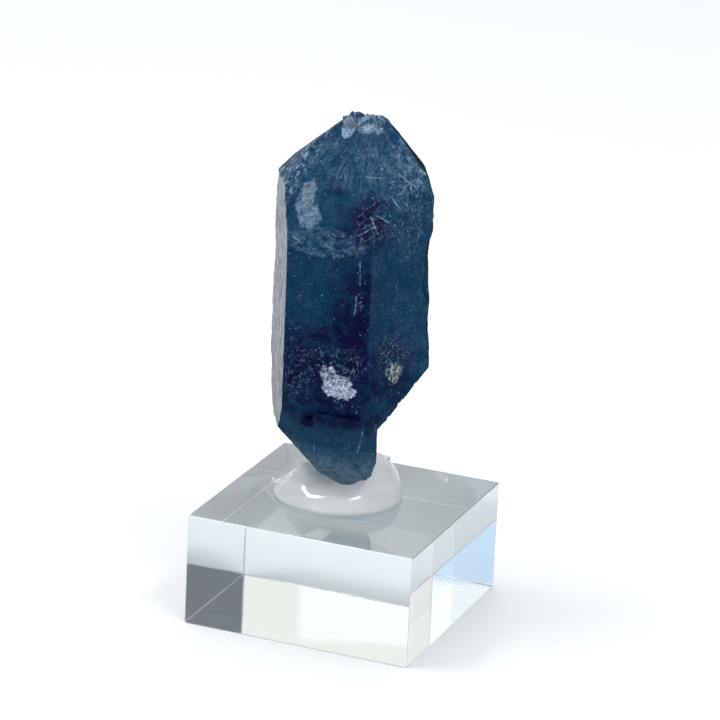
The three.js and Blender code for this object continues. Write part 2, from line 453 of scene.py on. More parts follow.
@dataclass(frozen=True)
class QuartzFinish:
    """Dark blue quartz, clouded by fine needles, with frosted and crusted patches, and painted shade in its
    hollows and at its outline.
    """

    teal: Colour = (0.0018, 0.034, 0.084)
    haze: Colour = (0.027, 0.082, 0.146)
    deep: Colour = (0.0008, 0.0042, 0.036)
    violet: Colour = (0.0006, 0.0009, 0.030)
    frost: Colour = (0.125, 0.205, 0.285)
    pale: Colour = (0.27, 0.38, 0.50)
    crust: Colour = (0.54, 0.62, 0.76)
    small_crust: Colour = (0.46, 0.48, 0.42)
    ior: float = 1.544
    fan: Place = (-0.6, 0.0, 66.0)
    core: Egg = ((4.6, -9.4, 38.5), (3.8, 5.0, 10.0), 1.2, 1.0)
    shadows: tuple[Egg, ...] = (
        ((0.4, -9.4, 33.6), (7.4, 4.0, 6.2), 1.0, 1.0),
        ((7.4, -6.6, 34.0), (4.4, 4.0, 4.6), 1.0, 0.6),
        ((2.2, -9.0, 28.4), (5.4, 3.0, 1.4), 0.8, 0.9),
        ((-2.2, -8.4, 27.2), (0.9, 2.0, 0.9), 0.5, 1.0),
        ((3.6, -7.4, 52.8), (3.4, 4.0, 3.0), 0.9, 0.75),
        ((-1.1, -5.3, 55.6), (1.9, 2.0, 0.5), 0.9, 0.5),
    )
    shade: Egg = ((8.6, -3.4, 55.0), (3.6, 5.0, 8.0), 0.8, 0.16)
    window: Egg = ((4.4, -7.0, 53.2), (2.0, 3.4, 3.2), 0.5, 1.0)
    veined: tuple[Egg, ...] = (
        ((2.2, -9.4, 35.6), (3.6, 3.0, 1.9), 0.8, 0.8),
        ((7.8, -6.0, 36.8), (1.6, 3.0, 2.6), 0.8, 1.0),
        ((-3.6, -9.4, 34.0), (2.4, 3.0, 3.4), 0.8, 0.6),
    )
    needled: tuple[Egg, ...] = (
        ((8.0, -4.0, 55.4), (3.2, 5.0, 6.4), 0.7, 1.0),
        ((5.4, -6.6, 53.4), (3.0, 3.0, 2.4), 0.7, 0.4),
    )
    streaked: Egg = ((4.0, -9.4, 46.0), (0.6, 2.0, 3.6), 0.7, 0.6)
    speckled: Egg = ((-3.4, -9.4, 35.2), (3.6, 3.0, 5.4), 0.8, 1.0)
    hollow: Egg = ((-1.2, -9.1, 50.5), (5.8, 1.6, 1.9), 0.3, 1.0)
    frosted: tuple[Egg, ...] = (
        ((-4.7, -6.0, 54.8), (1.0, 2.3, 2.6), 0.3, 1.0),
        ((-3.6, -7.4, 53.0), (1.5, 1.4, 1.6), 0.3, 1.0),
    )
    crusted: tuple[Egg, ...] = (
        ((2.1, -9.4, 32.2), (2.6, 1.6, 1.35), 0.5, 1.0),
        ((0.6, -9.4, 34.0), (1.3, 1.6, 1.4), 0.6, 0.8),
        ((2.2, -9.4, 30.6), (1.3, 1.6, 0.5), 0.6, 0.6),
        ((2.5, -9.4, 33.3), (1.6, 1.6, 1.0), 0.6, 0.85),
    )
    small_crusted: Egg = ((7.9, -6.0, 34.3), (0.9, 1.2, 1.2), 0.8, 1.0)
    chip: Egg = ((-2.0, 0.2, 62.6), (0.85, 1.6, 1.5), 0.2, 1.0)
    flake: Egg = ((0.5, -0.2, 62.8), (1.1, 1.4, 0.6), 0.4, 1.0)
    strokes: tuple[Line, ...] = (
        ((8.55, -4.45, 55.2), (9.0, -3.7, 52.6)),
        ((8.6, -4.45, 52.2), (9.2, -3.4, 49.5)),
        ((7.55, -6.3, 53.0), (7.65, -6.1, 50.0)),
        ((8.0, -5.4, 52.4), (7.5, -6.4, 50.6)),
        ((4.8, -6.4, 54.1), (6.6, -6.9, 53.6)),
        ((4.1, -6.6, 53.9), (5.9, -8.2, 52.1)),
        ((3.3, -8.3, 51.8), (5.0, -7.4, 52.9)),
        ((2.1, -3.6, 57.8), (4.3, -3.5, 58.0)),
        ((6.6, -2.6, 59.1), (7.3, -3.7, 57.8)),
        ((7.0, -3.3, 58.2), (8.6, -3.7, 57.6)),
        ((7.2, -3.9, 57.4), (8.2, -3.2, 58.3)),
        ((4.11, -9.44, 48.9), (4.24, -9.44, 46.0)),
        ((3.9, -9.44, 44.4), (3.7, -9.44, 42.2)),
        ((6.2, -3.0, 58.6), (7.9, -3.6, 57.8)),
        ((7.6, -3.4, 58.0), (8.4, -4.2, 56.9)),
        ((8.5, -2.6, 59.0), (8.9, -3.9, 57.3)),
        ((6.9, -4.6, 56.6), (7.9, -4.3, 57.0)),
        ((6.0, -4.9, 56.2), (7.4, -5.6, 55.2)),
        ((8.0, -5.5, 54.4), (8.7, -4.3, 53.6)),
        ((-4.6, -9.44, 49.5), (-2.4, -9.44, 48.4)),
        ((-3.3, -8.0, 27.2), (-2.5, -7.7, 26.7)),
        ((-2.5, -7.7, 26.7), (-2.6, -7.4, 25.7)),
        ((-1.5, -8.1, 26.4), (-1.75, -7.0, 22.4)),
        ((-1.75, -7.0, 22.4), (-1.8, -6.4, 20.6)),
        ((5.57, -9.3, 29.2), (5.1, -8.6, 26.5)),
        ((5.05, -8.5, 26.2), (4.35, -7.9, 23.9)),
    )

    def material(self) -> bpy.types.Material:
        """Builds the crystal's material.

        Returns:
            The material.
        """
        kit = Recipe(bpy.data.materials.new("indigolite_quartz"))
        ground = Ground.lay(kit)
        aside = kit.node("ShaderNodeLayerWeight", {}, {"Blend": 0.5}, "Facing")
        broken = kit.attribute("broken")
        base, dark = self._depths_and_shadows(ground, self._body(ground))
        base = self._inclusions(ground, base, dark)
        base = self._patches(ground, self._scoop(ground, base), broken)
        coarse = ground.grain * (broken + ground.flank * 0.4 + 0.1)
        relief = ground.fine * 0.4 + ground.mid * 0.5 + coarse * 0.3
        rough = 0.22 + ground.fine * 0.2 + broken * 0.3 + kit.attribute("rim") * 0.6
        surface = kit.gloss(
            {
                "Base Color": self._edges(ground, base, aside),
                "Roughness": rough.clamped(),
                "IOR": self.ior,
                "Specular IOR Level": 0.02,
                "Transmission Weight": 0.04,
                "Coat Weight": self._glaze(ground, aside),
                "Coat IOR": self.ior,
                "Coat Roughness": 0.16,
                "Normal": kit.bump(relief, 0.06, 0.8),
            }
        )
        return kit.finish(surface)

    def _body(self, ground: Ground) -> Channel:
        """The blue of the body, cloudier at the point, on the right face and at the foot.

        Args:
            ground: The shared noises.

        Returns:
            The colour.
        """
        kit, at, mid, height = ground.kit, ground.at, ground.mid, ground.height
        right_face = kit.attribute("right_face")
        top = (height + (kit.mottle(at, 0.16, 3.0) - 0.5) * 8.0).step(53.0, 58.0)
        stirred = kit.wander(at, 0.6, 0.5)
        across, _, above = kit.parts(stirred - self.fan)
        turn = kit.node("ShaderNodeMath", {"operation": "ARCTAN2"}, {0: across, 1: above * -1.0})
        spread = kit.node("ShaderNodeCombineXYZ", {}, {0: turn * 11.0, 1: above * 0.22, 2: 0.0})
        fibres = kit.mottle(spread, 1.0, 5.0, 0.62).step(0.36, 0.64)
        streaks = kit.mottle(at * (1.0, 1.0, 0.08), 2.4, 3.0, 0.6).step(0.35, 0.68)
        cloud = top * 0.26 + right_face * 0.07 + (mid.step(0.34, 0.66) - 0.5) * (0.30 + top * 0.3)
        cloud = cloud + height.step(24.0, 19.5) * 0.86 + height.step(28.5, 25.5) * 0.26
        cloud = cloud + (fibres - 0.5) * (top * 0.9 + 0.25) + (streaks - 0.5) * right_face * 0.14
        cloud = cloud - kit.spots(ground.loose, self.shade)
        base = kit.blend(cloud, self.teal, self.haze)
        drawn = stirred * (1.0, 1.0, 0.45)
        wisps = strongest(kit.veil(drawn, 1.5, 0.035), kit.veil(drawn + (9.0, 4.0, 2.0), 2.3, 0.035) * 0.8)
        wisps = wisps * kit.mottle(at, 0.6, 3.0).step(0.40, 0.60) * (top * 0.5 + right_face * 0.12 + 0.08)
        at_foot = height.step(24.5, 19.0) * mid.step(0.2, 0.55) * 0.85
        bright = fibres * mid.step(0.46, 0.66) * top * 0.16
        return kit.blend(bright + at_foot + wisps, base, self.frost)

    def _depths_and_shadows(self, ground: Ground, base: Channel) -> tuple[Channel, Channel]:
        """The dark places where one looks into the crystal, and painted shade in its hollows and under its
        ledges.

        Args:
            ground: The shared noises.
            base: The colour so far.

        Returns:
            The colour and the mask of the dark places.
        """
        kit, mid = ground.kit, ground.mid
        core = kit.spots(ground.loose, self.core) * (1 - kit.attribute("right_face") * 0.85)
        # Painted shade: the shadow eggs darken the colour in hollows and under ledges, together with the core
        # where one looks deep into the crystal.
        dark = strongest(core, kit.spots(ground.loose, *self.shadows))
        base = kit.blend((dark * (0.55 + mid.step(0.35, 0.6) * 0.6)).clamped() * 0.95, base, self.deep)
        pits = (mid * 0.6 + kit.mottle(ground.at, 0.5, 3.0) * 0.5).step(0.53, 0.60) * dark
        return kit.blend(pits * 0.8, base, self.violet), dark

    def _inclusions(self, ground: Ground, base: Channel, dark: Channel) -> Channel:
        """Pale needles, cracks and specks under the surface.

        Args:
            ground: The shared noises.
            base: The colour so far.
            dark: The mask of the dark places.

        Returns:
            The colour.
        """
        kit, at, loose, fine, flank = ground.kit, ground.at, ground.loose, ground.fine, ground.flank
        crooked = kit.wander(at, 1.6, 0.09)
        crack = kit.cells(crooked, 0.62, "DISTANCE_TO_EDGE").step(0.04, 0.012)
        window = kit.spots(kit.wander(at, 0.9, 0.7), self.window)
        pane = kit.lot(crooked, 0.62).step(0.30, 0.4) * (1 - crack)
        base = kit.blend(window * pane * 0.92, base, self.violet)
        vein = kit.veil(kit.wander(at, 1.3, 0.3), 1.1, 0.030) * kit.spots(loose, *self.veined)
        marks = [crack * window * 0.8 * fine.step(0.44, 0.56) * 0.34, vein * fine.step(0.40, 0.52) * 0.6]

        needle = strongest(
            kit.needles(at, (0.18, 0.12, 1.0), 0.5, 3.2, 0.26, 0.5),
            kit.needles(at, (0.9, 0.2, 0.7), 0.6, 2.6, 0.24, 0.45),
            kit.needles(at, (0.7, 0.3, -0.6), 0.5, 2.2, 0.24, 0.4),
        )
        needled = kit.spots(loose, *self.needled)
        net = strongest(
            kit.veil(crooked, 0.9, 0.022, 2.0),
            kit.veil(crooked + (5.0, 2.0, 7.0), 1.5, 0.026, 2.0),
        )
        marks.append(needle * strongest(needled, kit.spots(loose, self.streaked), flank * 0.4) * 0.6)
        marks.append(net * needled * fine.step(0.40, 0.56) * 0.28)
        marks += [kit.stroke(crooked, start, end, 0.17) * 0.55 for start, end in self.strokes]
        drawn = strongest(*marks) * fine.step(0.30, 0.60)

        speck = kit.cells(at, 1.1).step(0.13, 0.06) * kit.lot(at, 1.1).step(0.5, 0.25) * 0.7
        dusty = strongest(kit.spots(loose, self.speckled), flank, dark * 0.25)
        dusty = dusty * kit.mottle(at, 0.9).step(0.46, 0.58)
        dust = kit.cells(kit.wander(at, 1.6, 0.4), 2.3).step(0.26, 0.10) * dusty * 0.6
        grit = kit.mottle(kit.wander(at, 1.0, 0.4), 1.5, 5.0, 0.75).step(0.52, 0.60) * flank * 0.7
        return kit.blend(strongest(drawn, speck, dust, grit), base, self.pale)

    def _scoop(self, ground: Ground, base: Channel) -> Channel:
        """The dull scratched hollow between the front point face and the front prism face.

        Args:
            ground: The shared noises.
            base: The colour so far.

        Returns:
            The colour.
        """
        kit = ground.kit
        hollow = kit.spots(kit.wander(ground.at, 0.8, 0.4), self.hollow)
        laid = kit.wander(ground.at, 0.35, 0.6)
        scratch = strongest(
            kit.needles(laid, (0.84, 0.1, -0.54), 0.30, 6.5, 0.34, 0.62),
            kit.needles(laid, (0.78, 0.1, -0.62), 0.42, 5.0, 0.26, 0.5),
        )
        gashes = kit.mottle(laid * (1.0, 1.0, 1.6), 1.0, 4.0, 0.7).step(0.44, 0.60)
        base = kit.blend(hollow * (0.02 + gashes * 0.32), base, self.frost)
        return kit.blend(scratch * hollow * ground.mid.step(0.34, 0.60) * 0.62, base, self.pale)

    def _patches(self, ground: Ground, base: Channel, broken: Channel) -> Channel:
        """The frosted patch, the pale crusts and the broken apex.

        Args:
            ground: The shared noises.
            base: The colour so far.
            broken: How broken the surface is.

        Returns:
            The colour.
        """
        kit, at, ragged, fine, grain = ground.kit, ground.at, ground.ragged, ground.fine, ground.grain
        veined = kit.mottle(kit.wander(at, 1.2, 0.4), 1.9, 5.0, 0.7).step(0.38, 0.62)
        frosted = kit.spots(ragged, *self.frosted) * (0.15 + veined * 0.36 + fine.step(0.40, 0.60) * 0.08)
        base = kit.blend(frosted, base, self.pale)

        holes = kit.mottle(kit.wander(at, 2.0, 0.3), 2.4, 4.0, 0.7)
        clumps = kit.mottle(at, 1.5, 5.0, 0.7) * 0.6 + holes
        crusted = (kit.spots(ragged, *self.crusted) * clumps).step(0.53, 0.74)
        base = kit.blend(crusted * (0.34 + grain * 0.6), base, self.crust)
        small = kit.spots(ragged, self.small_crusted) * holes.step(0.48, 0.56)
        base = kit.blend(small * 0.9, base, self.small_crust)

        tilted = kit.wander(at, 0.9, 0.3) * (1.0, 1.0, 0.7)
        shard = kit.lot(tilted, 1.25)
        seam = kit.cells(tilted, 1.25, "DISTANCE_TO_EDGE").step(0.12, 0.02)
        chip = kit.spots(kit.wander(at, 1.2, 0.2), self.chip)
        flake = kit.spots(kit.wander(at, 1.2, 0.3), self.flake)
        chipped = strongest(
            broken * (shard.step(0.45, 0.95) * 0.7 + seam * 0.5 * fine.step(0.4, 0.6) + grain * 0.1),
            chip * (0.42 + fine.step(0.45, 0.65) * 0.25 + seam * 0.35),
            flake * (0.4 + shard.step(0.2, 0.8) * 0.5),
        )
        return kit.blend(chipped, base, self.pale)

    def _edges(self, ground: Ground, base: Channel, aside: Channel) -> Channel:
        """The edges, worn pale at the point and darker below, painted shade at the outline and on the back
        rim, and the fine unevenness of the whole.

        Args:
            ground: The shared noises.
            base: The colour so far.
            aside: How far the surface turns from the eye.

        Returns:
            The colour.
        """
        kit, mid, fine = ground.kit, ground.mid, ground.fine
        worn = kit.attribute("worn")
        high = ground.height.step(48.0, 56.0)
        base = kit.blend(worn * mid.step(0.4, 0.65) * high * 0.35, base, self.frost)
        base = kit.blend((1 - high) * worn * 0.7, base, self.violet)
        # Painted shade: dark violet near the outline, where the surface turns from the eye.
        base = kit.blend(aside.step(0.82, 0.97) * 0.85, base, self.violet)
        blotch = kit.mottle(kit.wander(ground.at, 0.9, 0.4), 1.5, 4.0, 0.7).step(0.40, 0.62)
        # Painted shade: the back rim facets are darkened where they turn from the eye.
        rim = kit.attribute("rim") * aside.step(0.55, 0.85) * 0.62
        uneven = 0.60 + fine.step(0.34, 0.66) * 0.42 + blotch * 0.30 + (ground.grain - 0.5) * 0.12
        return base * uneven * (1 - rim)

    @staticmethod
    def _glaze(ground: Ground, aside: Channel) -> Channel:
        """The pitted glaze that the left face takes on when it is seen from the side.

        Args:
            ground: The shared noises.
            aside: How far the surface turns from the eye.

        Returns:
            How much glaze there is.
        """
        kit, at = ground.kit, ground.at
        low = ground.height.step(38.0, 30.0)
        smooth = kit.mottle(at * (1.0, 1.0, 0.4), 1.7, 4.0, 0.7).step(0.40, 0.50)
        smooth = smooth * (1 - low * kit.mottle(at * (1.0, 1.0, 0.3), 1.2, 3.0).step(0.52, 0.44) * 0.6)
        smooth = smooth * (1 - kit.mottle(at * (1.0, 1.0, 0.7), 2.8, 3.0, 0.6).step(0.56, 0.64) * 0.5)
        return aside.step(0.62, 0.85) * kit.attribute("left_face") * (0.04 + smooth * 0.52)


@dataclass(frozen=True)
class GlueFinish:
    """Clear glue, a little milky."""

    tint: Colour = (0.93, 0.95, 0.97)
    milk: Colour = (0.97, 0.99, 1.0)
    ior: float = 1.48

    def material(self) -> bpy.types.Material:
        """Builds the glue's material.

        Returns:
            The material.
        """
        kit = Recipe(bpy.data.materials.new("milky_glue"))
        at = kit.place()
        cloud = kit.mottle(at, 0.22, 2.0)
        _, _, height = kit.parts(at)
        clear = {"Base Color": self.tint, "Roughness": 0.03, "IOR": self.ior, "Transmission Weight": 1.0}
        milky = {"Base Color": self.milk, "Roughness": 0.6, "IOR": self.ior, "Transmission Weight": 0.12}
        milky |= {"Coat Weight": 1.0, "Coat IOR": self.ior, "Coat Roughness": 0.04}
        uneven = {"Normal": kit.bump(kit.mottle(at, 0.4, 1.0), 0.1, 0.4)}
        amount = (0.46 + (cloud - 0.5) * 0.24 + height.step(16.6, 14.6) * 0.10).clamped()
        layers = {0: amount, 1: kit.gloss(clear | uneven), 2: kit.gloss(milky | uneven)}
        return kit.finish(kit.node("ShaderNodeMixShader", {}, layers))


@dataclass(frozen=True)
class AcrylicFinish:
    """Clear polished acrylic."""

    tint: Colour = (0.79, 0.85, 0.875)
    scuff: Colour = (0.92, 0.94, 0.96)
    ior: float = 1.49

    def material(self) -> bpy.types.Material:
        """Builds the block's material.

        Returns:
            The material.
        """
        kit = Recipe(bpy.data.materials.new("clear_acrylic"))
        at = kit.place()
        smear = kit.mottle(at, 0.25, 4.0)
        hairline = kit.needles(at, (0.8, 0.5, 0.1), 2.4, 14.0, 0.02, 0.2)
        bevel = kit.attribute("bevel")
        rough = (smear.step(0.45, 0.8) * 0.03 + hairline * 0.25 + bevel * 0.35).clamped()
        glass = {"Base Color": self.tint, "Roughness": rough, "IOR": self.ior, "Transmission Weight": 1.0}
        scuffed = {"Base Color": self.scuff, "Roughness": 0.5, "IOR": self.ior}
        layers = {0: bevel * 0.30, 1: kit.gloss(glass), 2: kit.gloss(scuffed)}
        return kit.finish(kit.node("ShaderNodeMixShader", {}, layers))


def placed(mesh: bpy.types.Mesh) -> bpy.types.Object:
    """Puts a mesh in the scene, as an object of the same name."""
    made = bpy.data.objects.new(mesh.name, mesh)
    bpy.context.scene.collection.objects.link(made)
    return made


@dataclass
class FineSkin:
    """A faceted solid whose faces are filled with small even triangles, so that each can carry relief."""

    points: list[Array] = field(default_factory=list)
    triangles: list[tuple[int, int, int]] = field(default_factory=list)
    facet_of: list[int] = field(default_factory=list)
    normals: list[Array] = field(default_factory=list)
    sharp: set[int] = field(default_factory=set)
    sharp_edges: set[tuple[int, int]] = field(default_factory=set)
    marks: dict[str, Array] = field(default_factory=dict)

    @classmethod
    def from_node(cls, node: str, spacing: float, keen: float) -> "FineSkin":
        """Fills the faces of a CAD node.

        Args:
            node: The node's name.
            spacing: The side of a small triangle, in millimetres.
            keen: The angle between two faces, in degrees, from which their edge is sharp.

        Returns:
            The skin, in millimetres.
        """
        mesh = bmesh.new()
        mesh.from_mesh(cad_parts[node].data)
        bmesh.ops.remove_doubles(mesh, verts=mesh.verts, dist=2e-6)
        bmesh.ops.dissolve_degenerate(mesh, edges=mesh.edges, dist=2e-6)
        bmesh.ops.dissolve_limit(mesh, angle_limit=math.radians(0.6), verts=mesh.verts, edges=mesh.edges)
        mesh.normal_update()
        mesh.verts.index_update()
        mesh.edges.index_update()
        skin = cls()
        skin.points = [np.array(vert.co) / MM for vert in mesh.verts]
        chains: dict[int, list[int]] = {}
        for edge in mesh.edges:
            first, last = (vert.index for vert in edge.verts)
            a, b = skin.points[first], skin.points[last]
            count = max(1, round(float(np.linalg.norm(b - a)) / spacing))
            inner = []
            for step in range(1, count):
                inner.append(len(skin.points))
                skin.points.append(a + (b - a) * step / count)
            chains[edge.index] = [first, *inner, last]
            angle = math.degrees(edge.calc_face_angle(0.0))
            if angle > keen:
                skin.sharp.update(chains[edge.index])
                skin.sharp_edges.update(
                    (min(pair), max(pair)) for pair in zip(chains[edge.index], chains[edge.index][1:])
                )
        rng = np.random.default_rng(SEED)
        for face in mesh.faces:
            outline: list[int] = []
            for loop in face.loops:
                chain = chains[loop.edge.index]
                outline += (chain if chain[0] == loop.vert.index else chain[::-1])[:-1]
            skin._fill(outline, np.array(face.normal), spacing, rng)
        mesh.free()
        return skin

    def _fill(self, outline: list[int], normal: Array, spacing: float, rng: np.random.Generator) -> None:
        """Fills one face.

        Args:
            outline: The points round it.
            normal: The way that it looks.
            spacing: The side of a small triangle.
            rng: The source of chance.
        """
        facet = len(self.normals)
        self.normals.append(normal)
        if len(outline) == 3:
            self.triangles.append(tuple(outline))
            self.facet_of.append(facet)
            return
        across = np.cross(normal, [0.0, 0.0, 1.0] if abs(normal[2]) < 0.9 else [1.0, 0.0, 0.0])
        across /= np.linalg.norm(across)
        up = np.cross(normal, across)
        ring = np.array([self.points[index] for index in outline])
        origin = ring.mean(0)
        flat = np.stack([(ring - origin) @ across, (ring - origin) @ up], 1)
        grid = self._grid(flat, spacing, rng)
        coords = [Vector(pair) for pair in np.vstack([flat, grid])]
        count = len(outline)
        edges = [(index, (index + 1) % count) for index in range(count)]
        verts, _, faces, sources, _, _ = delaunay_2d_cdt(coords, edges, [list(range(count))], 1, 1e-6)
        names: list[int] = []
        for place, source in zip(verts, sources):
            if source and source[0] < count:
                names.append(outline[source[0]])
            else:
                names.append(len(self.points))
                self.points.append(origin + across * place[0] + up * place[1])
        for corners in faces:
            named = [names[index] for index in corners]
            if len(set(named)) < 3:
                continue
            a, b, c = (self.points[index] for index in named[:3])
            if np.dot(np.cross(b - a, c - a), normal) < 0:
                named = named[::-1]
            self.triangles.append(tuple(named[:3]))
            self.facet_of.append(facet)

    @staticmethod
    def _grid(flat: Array, spacing: float, rng: np.random.Generator) -> Array:
        """Lays points evenly inside an outline.

        Args:
            flat: The outline in its own plane.
            spacing: How far apart the points are.
            rng: The source of chance.

        Returns:
            The points that are inside and clear of the outline.
        """
        low, high = flat.min(0), flat.max(0)
        rows = np.arange(low[1], high[1], spacing * 0.866)
        columns = np.arange(low[0], high[0] + spacing, spacing)
        if not len(rows) or not len(columns):
            return np.empty((0, 2))
        x, y = np.meshgrid(columns, rows)
        x = x + (np.arange(len(rows)) % 2)[:, None] * spacing / 2
        grid = np.stack([x.ravel(), y.ravel()], 1)
        grid += rng.uniform(-0.12, 0.12, grid.shape) * spacing
        a, b = flat, np.roll(flat, -1, 0)
        inside = np.zeros(len(grid), bool)
        nearest = np.full(len(grid), np.inf)
        for start, end in zip(a, b):
            side = end - start
            length = max(float(side @ side), 1e-12)
            along = np.clip(((grid - start) @ side) / length, 0, 1)
            gap = np.linalg.norm(grid - (start + along[:, None] * side), axis=1)
            nearest = np.minimum(nearest, gap)
            crosses = (start[1] > grid[:, 1]) != (end[1] > grid[:, 1])
            if crosses.any():
                reach = start[0] + (grid[:, 1] - start[1]) * side[0] / (side[1] if side[1] else 1e-12)
                inside ^= crosses & (grid[:, 0] < reach)
        return grid[inside & (nearest > spacing * 0.55)]

    def point_normals(self) -> Array:
        """The mean normal at each point, by area.

        Returns:
            One unit vector for each point.
        """
        points = np.array(self.points)
        corners = np.array(self.triangles)
        first, second, third = (points[corners[:, column]] for column in range(3))
        cross = np.cross(second - first, third - first)
        total = np.zeros_like(points)
        for column in range(3):
            np.add.at(total, corners[:, column], cross)
        return total / np.maximum(np.linalg.norm(total, axis=1), 1e-12)[:, None]

    def piece(self, name: str) -> bpy.types.Object:
        """Makes the object.

        Args:
            name: The piece's name.

        Returns:
            The object, with smooth faces and sharp edges between facets.
        """
        mesh = bpy.data.meshes.new(name)
        mesh.from_pydata([tuple(point * MM) for point in self.points], [], self.triangles)
        mesh.validate()
        mesh.polygons.foreach_set("use_smooth", [True] * len(mesh.polygons))
        pairs = np.zeros(len(mesh.edges) * 2, int)
        mesh.edges.foreach_get("vertices", pairs)
        pairs = np.sort(pairs.reshape(-1, 2), 1)
        flags = [(int(a), int(b)) in self.sharp_edges for a, b in pairs]
        mesh.edges.foreach_set("use_edge_sharp", flags)
        for kind, values in self.marks.items():
            mesh.attributes.new(kind, "FLOAT", "POINT").data.foreach_set("value", values)
        return placed(mesh)


def ripple(points: Array, scale: float | Place, depth: int = 1, seed: int = 0) -> Array:
    """Soft noise at many points.

    Args:
        points: Where, in millimetres.
        scale: Waves to a millimetre, for all or for each axis.
        depth: How many layers.
        seed: Which noise.

    Returns:
        One value from about -1 to 1 for each point.
    """
    scaled = points * np.array(scale) + seed * 17.31
    out = np.zeros(len(points))
    for layer in range(depth):
        factor = 2.03**layer
        out += np.array([noise.noise(Vector(p)) for p in scaled * factor]) / factor
    return out


@dataclass
class Crystal:
    """The quartz crystal."""

    spacing: float = 0.34
    keen: float = 14.0
    wave_height: float = 0.05
    grain_height: float = 0.018
    growth_line_height: float = 0.022
    nick_depth: float = 0.55
    inset: float = 0.03
    apex: Place = (0.2, 1.2, 64.0)
    zones: tuple[tuple[Place, Place, float, float], ...] = (
        ((2.0, -9.4, 32.5), (2.8, 1.5, 2.0), 0.28, 1.4),
        ((7.9, -6.0, 34.3), (1.4, 1.4, 1.5), 0.26, 1.5),
        ((-4.2, -6.6, 54.2), (1.6, 2.4, 3.2), 0.12, 1.2),
        ((-0.9, -9.0, 50.4), (6.4, 1.6, 2.2), -0.10, 0.9),
        ((-2.0, -8.8, 28.0), (1.2, 1.2, 1.2), -0.14, 0.9),
    )

    @staticmethod
    def _relief(points: Array, centre: Place, radii: Place, height: float, scale: float) -> Array:
        """How far one rough patch stands out.

        Args:
            points: The skin's points, in millimetres.
            centre: The middle of the patch.
            radii: Its half sizes.
            height: How far its grains stand out.
            scale: Grains to a millimetre.

        Returns:
            One distance for each point.
        """
        inside = np.clip(1.4 - np.linalg.norm((points - centre) / np.array(radii), axis=1), 0, 1)
        return inside * np.abs(ripple(points, scale, 2, 9)) * height

    def skin(self) -> FineSkin:
        """Fills and roughens the crystal's faces.

        Returns:
            The skin.
        """
        spacing = self.spacing
        skin = FineSkin.from_node("quartz_crystal", spacing, self.keen)
        points = np.array(skin.points)
        normals = skin.point_normals()
        log.info("crystal skin: %d points, %d triangles", len(points), len(skin.triangles))
        edge = np.zeros(len(points))
        edge[list(skin.sharp)] = 1.0
        near_top = np.clip(1 - np.linalg.norm((points - self.apex) / [4.2, 3.0, 2.6], axis=1), 0, 1)
        waves = ripple(points, 0.35, 2, 1) * self.wave_height + ripple(points, 1.6, 2, 2) * self.grain_height
        growth = ripple(points, (0.12, 0.12, 2.6), 2, 3) * self.growth_line_height
        nick = np.maximum(ripple(points, 0.9, 3, 4) - 0.12, 0) * edge * self.nick_depth
        splinters = np.abs(ripple(points, 0.9, 2, 5)) * 0.6 + np.abs(ripple(points, 2.6, 1, 8)) * 0.12
        jag = splinters * near_top**0.5
        relief = sum(self._relief(points, *zone) for zone in self.zones)
        shift = waves + growth + relief - nick - jag - self.inset
        skin.points = list(points + normals * shift[:, None])
        skin.marks["worn"] = np.clip(edge * (0.35 + ripple(points, 1.1, 2, 6)), 0, 1)
        skin.marks["broken"] = np.clip(near_top * 2.6 * (0.45 + 1.3 * ripple(points, 0.8, 2, 7)), 0, 1)
        return skin

    def build(self) -> bpy.types.Object:
        """Makes the crystal.

        Returns:
            The piece.
        """
        skin = self.skin()
        piece = skin.piece("indigolite_crystal")
        mesh = piece.data
        normals = np.array(skin.normals)
        kinds = {
            "right_face": normals @ facing(60, 0) > 0.96,
            "left_face": normals @ facing(-60, 0) > 0.84,
            "flank": np.maximum(normals @ facing(-60, 38), normals @ facing(60, 38)) > 0.97,
            "rim": np.maximum(normals @ facing(118, 28), normals @ facing(112, 0)) > 0.86,
        }
        for name, flags in kinds.items():
            values = flags.astype(float)[skin.facet_of]
            mesh.attributes.new(name, "FLOAT", "FACE").data.foreach_set("value", values[: len(mesh.polygons)])
        mesh.materials.append(QuartzFinish().material())
        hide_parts("quartz_crystal")
        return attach(piece, "root")


